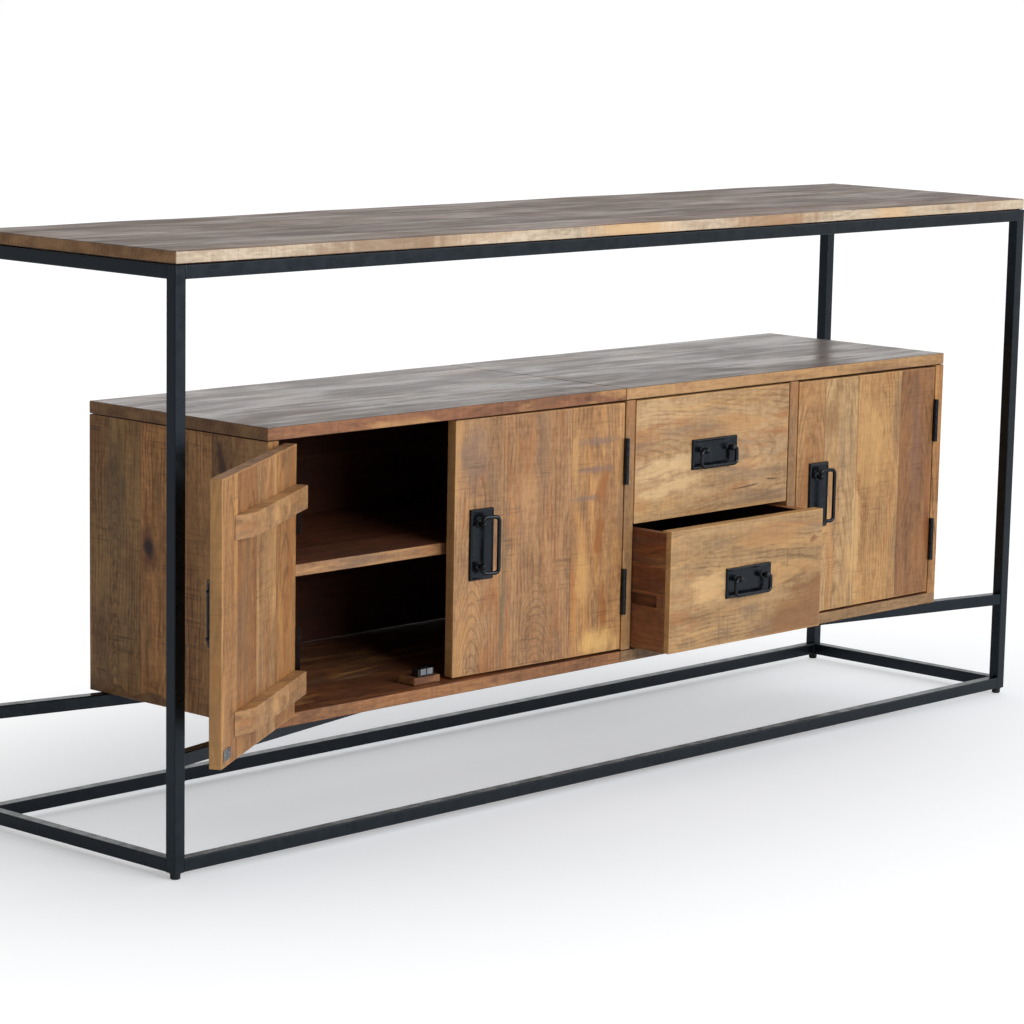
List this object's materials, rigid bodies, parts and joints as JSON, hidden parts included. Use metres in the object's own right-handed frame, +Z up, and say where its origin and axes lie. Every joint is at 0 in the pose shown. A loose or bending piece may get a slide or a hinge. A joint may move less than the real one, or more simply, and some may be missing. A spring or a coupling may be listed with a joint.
{
  "type": "sideboard buffet",
  "caption": "Long sideboard: black square-tube frame with a plank top, and a low wooden cabinet with hinged doors and drawers resting inside it on a crossed brace.",
  "frame": {"origin": "on the floor, under the middle of the bounding box as it stands with the left door and the lower drawer open", "axes": "+X along the length to the viewer's right, +Y from the front to the back, +Z up"},
  "size_m": [2.1062, 0.6402, 0.9],
  "materials": {
    "black_steel_tube": "satin powder coat",
    "black_iron": "blackened iron",
    "glide_plastic": "matte",
    "top_wood": "satin lacquer",
    "case_wood": "satin lacquer",
    "door_wood": "rough-sawn, satin lacquer",
    "inner_wood": "stained, matte"
  },
  "bodies": {
    "stand": {"post_front_left": "black_steel_tube", "post_front_right": "black_steel_tube", "post_back_left": "black_steel_tube", "post_back_right": "black_steel_tube", "top_rail_front": "black_steel_tube", "top_rail_back": "black_steel_tube", "top_rail_left": "black_steel_tube", "top_rail_right": "black_steel_tube", "bottom_rail_front": "black_steel_tube", "bottom_rail_back": "black_steel_tube", "bottom_rail_left": "black_steel_tube", "bottom_rail_right": "black_steel_tube", "brace_long": "black_steel_tube", "brace_short_left": "black_steel_tube", "brace_short_right": "black_steel_tube", "foot_glide_front_left": "glide_plastic", "foot_glide_front_right": "glide_plastic", "foot_glide_back_left": "glide_plastic", "foot_glide_back_right": "glide_plastic", "table_top": "top_wood", "cabinet_top": "case_wood", "cabinet_bottom": "case_wood", "cabinet_side_left": "case_wood", "cabinet_side_right": "case_wood", "partition_left": "case_wood", "partition_right": "case_wood", "cabinet_back": "inner_wood", "shelf_left": "inner_wood", "shelf_right": "inner_wood", "hinge_left_upper": "black_iron", "hinge_left_lower": "black_iron", "hinge_middle_upper": "black_iron", "hinge_middle_lower": "black_iron", "hinge_right_upper": "black_iron", "hinge_right_lower": "black_iron"},
    "door_left": {"door_left": "door_wood", "door_left_batten_upper": "door_wood", "door_left_batten_lower": "door_wood", "handle_plate_door_left": "black_iron"},
    "bail_door_left": {"bail_door_left": "black_iron"},
    "door_middle": {"door_middle": "door_wood", "door_middle_batten_upper": "door_wood", "door_middle_batten_lower": "door_wood", "handle_plate_door_middle": "black_iron"},
    "bail_door_middle": {"bail_door_middle": "black_iron"},
    "door_right": {"door_right": "door_wood", "door_right_batten_upper": "door_wood", "door_right_batten_lower": "door_wood", "handle_plate_door_right": "black_iron"},
    "bail_door_right": {"bail_door_right": "black_iron"},
    "drawer_upper": {"drawer_upper_front": "door_wood", "drawer_upper_box": "inner_wood", "drawer_upper_bottom": "inner_wood", "handle_plate_drawer_upper": "black_iron"},
    "bail_drawer_upper": {"bail_drawer_upper": "black_iron"},
    "drawer_lower": {"drawer_lower_front": "door_wood", "drawer_lower_box": "inner_wood", "drawer_lower_bottom": "inner_wood", "handle_plate_drawer_lower": "black_iron"},
    "bail_drawer_lower": {"bail_drawer_lower": "black_iron"}
  },
  "joints": [
    {"name": "door_left_swing", "type": "hinge", "parent": "stand", "child": "door_left", "pos_m": [-0.73563, -0.10425, 0.409], "axis": [0, 0, -1], "range_deg": [-148.5, 20]},
    {"name": "door_middle_swing", "type": "hinge", "parent": "stand", "child": "door_middle", "pos_m": [0.01687, -0.10425, 0.409], "axis": [0, 0, 1], "range_deg": [0, 92]},
    {"name": "door_right_swing", "type": "hinge", "parent": "stand", "child": "door_right", "pos_m": [0.83387, -0.10425, 0.409], "axis": [0, 0, 1], "range_deg": [0, 170]},
    {"name": "drawer_upper_slide", "type": "slide", "parent": "stand", "child": "drawer_upper", "axis": [0, -1, 0], "range_m": [0, 0.28]},
    {"name": "drawer_lower_slide", "type": "slide", "parent": "stand", "child": "drawer_lower", "axis": [0, -1, 0], "range_m": [-0.081, 0.199]},
    {"name": "bail_door_left_swing", "type": "hinge", "parent": "door_left", "child": "bail_door_left", "pos_m": [-1.01813, -0.26716, 0.413], "axis": [0, 0, 1], "range_deg": [-28, 158]},
    {"name": "bail_door_middle_swing", "type": "hinge", "parent": "door_middle", "child": "bail_door_middle", "pos_m": [-0.30923, -0.10157, 0.413], "axis": [0, 0, -1], "range_deg": [-28, 158]},
    {"name": "bail_door_right_swing", "type": "hinge", "parent": "door_right", "child": "bail_door_right", "pos_m": [0.50462, -0.11295, 0.413], "axis": [0, 0, -1], "range_deg": [-28, 158]},
    {"name": "bail_drawer_upper_swing", "type": "hinge", "parent": "drawer_upper", "child": "bail_drawer_upper", "pos_m": [0.23562, -0.11295, 0.5175], "axis": [-1, 0, 0], "range_deg": [-8, 178]},
    {"name": "bail_drawer_lower_swing", "type": "hinge", "parent": "drawer_lower", "child": "bail_drawer_lower", "pos_m": [0.23562, -0.19395, 0.3145], "axis": [-1, 0, 0], "range_deg": [-8, 178]}
  ]
}
